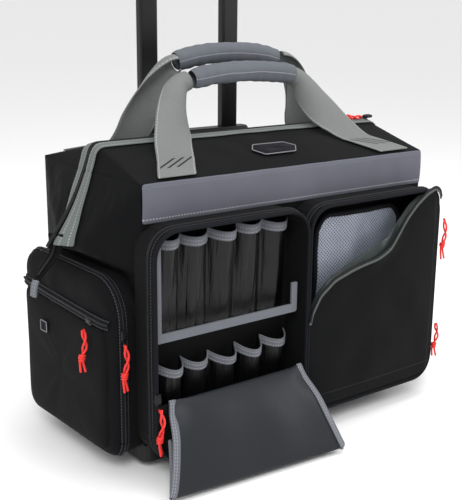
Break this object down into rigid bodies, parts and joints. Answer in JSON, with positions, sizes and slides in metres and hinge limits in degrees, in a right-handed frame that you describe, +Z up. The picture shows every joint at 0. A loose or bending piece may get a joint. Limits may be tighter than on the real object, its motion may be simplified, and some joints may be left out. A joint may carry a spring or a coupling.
{
  "type": "wheeled carry case",
  "caption": "Soft-sided wheeled carry case for art supplies with a zipped roof, tool pouches, end pockets, carry handles and a telescoping pull handle.",
  "frame": {"origin": "the middle of the footprint, on the floor that the foot rail and wheels stand on", "axes": "+X along the case to its right seen from the front, +Y to its back where the rails and wheels are, +Z up"},
  "size_m": [0.5441, 0.3448, 0.8343],
  "materials": {
    "black_fabric": "heavy woven nylon",
    "grey_fabric": "plain woven nylon",
    "grey_webbing": "ribbed webbing",
    "slate_lining": "coated lining cloth",
    "pouch_elastic": "glossy stretch cloth",
    "net": "fine net",
    "black_plastic": "moulded, fine grain",
    "black_tube": "black anodised",
    "steel": "ground",
    "rubber": "moulded",
    "grey_plastic": "moulded",
    "red_cord": "braided"
  },
  "bodies": {
    "bag": {"base_tray": "black_plastic", "front_panel": "black_fabric", "back_panel": "black_fabric", "left_end_panel": "black_fabric", "right_end_panel": "black_fabric", "front_band": "grey_fabric", "left_end_zip": "grey_webbing", "right_end_zip": "grey_webbing", "organizer_gusset": "black_fabric", "upper_pouches": "pouch_elastic", "lower_pouches": "pouch_elastic", "upper_pouch_binding": "grey_webbing", "lower_pouch_binding": "grey_webbing", "pouch_board_binding": "grey_webbing", "right_pocket_gusset": "black_fabric", "mesh_pocket": "net", "left_end_pocket_gusset": "black_fabric", "right_end_pocket_gusset": "black_fabric", "rail_sleeve_left": "black_tube", "rail_sleeve_right": "black_tube", "rail_bezel": "black_plastic", "wheel_housing_left": "black_plastic", "wheel_housing_right": "black_plastic", "wheel_axle": "steel"},
    "front_roof": {"front_roof_panel": "black_fabric", "front_top_zip": "grey_webbing"},
    "back_roof": {"back_roof_panel": "black_fabric", "back_top_zip": "grey_webbing"},
    "front_handle": {"front_handle_strap": "grey_webbing", "front_handle_grip": "grey_fabric"},
    "back_handle": {"back_handle_strap": "grey_webbing", "back_handle_grip": "grey_fabric"},
    "zip_tail": {"zip_tail": "grey_webbing"},
    "organizer_flap": {"organizer_flap": "slate_lining"},
    "organizer_flap_end": {"organizer_flap_end": "slate_lining"},
    "right_cover": {"right_pocket_flap": "black_fabric"},
    "left_door": {"left_end_pocket_door": "black_fabric"},
    "right_door": {"right_end_pocket_door": "black_fabric"},
    "lower_rails": {"lower_rail_left": "black_tube", "lower_rail_right": "black_tube"},
    "upper_rails": {"upper_rail_left": "black_tube", "upper_rail_right": "black_tube", "pull_grip": "black_plastic"},
    "button": {"release_button": "grey_plastic"},
    "left_wheel": {"wheel_hub_left": "grey_plastic", "wheel_tyre_left": "rubber"},
    "right_wheel": {"wheel_hub_right": "grey_plastic", "wheel_tyre_right": "rubber"},
    "organizer_zip": {"organizer_slider": "black_plastic", "organizer_pull": "red_cord"},
    "upper_side_zip": {"upper_side_slider": "black_plastic", "upper_side_pull": "red_cord"},
    "lower_side_zip": {"lower_side_slider": "black_plastic", "lower_side_pull": "red_cord"},
    "left_door_zip": {"left_door_slider": "black_plastic", "left_door_pull": "red_cord"},
    "left_pouch_zip": {"left_pouch_slider": "black_plastic", "left_pouch_pull": "red_cord"},
    "roof_zip": {"roof_slider": "black_plastic", "roof_pull": "red_cord"}
  },
  "joints": [
    {"name": "front_roof_opens", "type": "hinge", "parent": "bag", "child": "front_roof", "pos_m": [0.015, -0.08405, 0.327], "axis": [1, 0, 0], "range_deg": [0, 90]},
    {"name": "back_roof_opens", "type": "hinge", "parent": "bag", "child": "back_roof", "pos_m": [0.015, 0.12905, 0.327], "axis": [-1, 0, 0], "range_deg": [0, 16]},
    {"name": "front_handle_falls", "type": "hinge", "parent": "front_roof", "child": "front_handle", "pos_m": [0.015, -0.03203, 0.34416], "axis": [1, 0, 0], "range_deg": [0, 100]},
    {"name": "back_handle_falls", "type": "hinge", "parent": "back_roof", "child": "back_handle", "pos_m": [0.015, 0.06946, 0.34542], "axis": [-1, 0, 0], "range_deg": [0, 14]},
    {"name": "zip_tail_lifts", "type": "hinge", "parent": "bag", "child": "zip_tail", "pos_m": [-0.2385, 0.01575, 0.247], "axis": [0, 1, 0], "range_deg": [0, 60]},
    {"name": "organizer_flap_closes", "type": "hinge", "parent": "bag", "child": "organizer_flap", "pos_m": [0.015, -0.12175, 0.096], "axis": [-1, 0, 0], "range_deg": [0, 150]},
    {"name": "organizer_flap_unfolds", "type": "hinge", "parent": "organizer_flap", "child": "organizer_flap_end", "pos_m": [0.015, -0.1694, 0.00746], "axis": [-1, 0, 0], "range_deg": [0, 180]},
    {"name": "right_cover_opens", "type": "hinge", "parent": "bag", "child": "right_cover", "pos_m": [0.015, -0.12255, 0.044], "axis": [1, 0, 0], "range_deg": [0, 100]},
    {"name": "left_door_opens", "type": "hinge", "parent": "bag", "child": "left_door", "pos_m": [-0.2215, 0.01875, 0.0217], "axis": [0, -1, 0], "range_deg": [0, 80]},
    {"name": "right_door_opens", "type": "hinge", "parent": "bag", "child": "right_door", "pos_m": [0.2515, 0.01875, 0.0217], "axis": [0, 1, 0], "range_deg": [0, 80]},
    {"name": "lower_rails_slide", "type": "slide", "parent": "bag", "child": "lower_rails", "axis": [0, 0, 1], "range_m": [-0.221, 0]},
    {"name": "upper_rails_slide", "type": "slide", "parent": "lower_rails", "child": "upper_rails", "axis": [0, 0, 1], "range_m": [-0.211, 0]},
    {"name": "button_presses", "type": "slide", "parent": "upper_rails", "child": "button", "axis": [0, 0, -1], "range_m": [0, 0.003], "stiffness_N_per_m": 300},
    {"name": "left_wheel_turns", "type": "hinge", "parent": "bag", "child": "left_wheel", "pos_m": [-0.14, 0.14075, 0.032], "axis": [1, 0, 0], "continuous": true},
    {"name": "right_wheel_turns", "type": "hinge", "parent": "bag", "child": "right_wheel", "pos_m": [0.17, 0.14075, 0.032], "axis": [1, 0, 0], "continuous": true},
    {"name": "organizer_zip_slides", "type": "slide", "parent": "bag", "child": "organizer_zip", "axis": [0, 0, 1], "range_m": [0, 0.15]},
    {"name": "upper_side_zip_slides", "type": "slide", "parent": "bag", "child": "upper_side_zip", "axis": [0, 0, 1], "range_m": [-0.13, 0]},
    {"name": "lower_side_zip_slides", "type": "slide", "parent": "bag", "child": "lower_side_zip", "axis": [0, 0, 1], "range_m": [-0.045, 0]},
    {"name": "left_door_zip_slides", "type": "slide", "parent": "bag", "child": "left_door_zip", "axis": [0, 0, 1], "range_m": [-0.11, 0.01]},
    {"name": "left_pouch_zip_slides", "type": "slide", "parent": "left_door", "child": "left_pouch_zip", "axis": [0, 0.999, 0.0439], "range_m": [0, 0.135]},
    {"name": "roof_zip_slides", "type": "slide", "parent": "front_roof", "child": "roof_zip", "axis": [1, 0, 0], "range_m": [-0.39, 0]}
  ],
  "couplings": [
    {"joint": "organizer_flap_unfolds", "follows": "organizer_flap_closes", "ratio": 1.2}
  ]
}
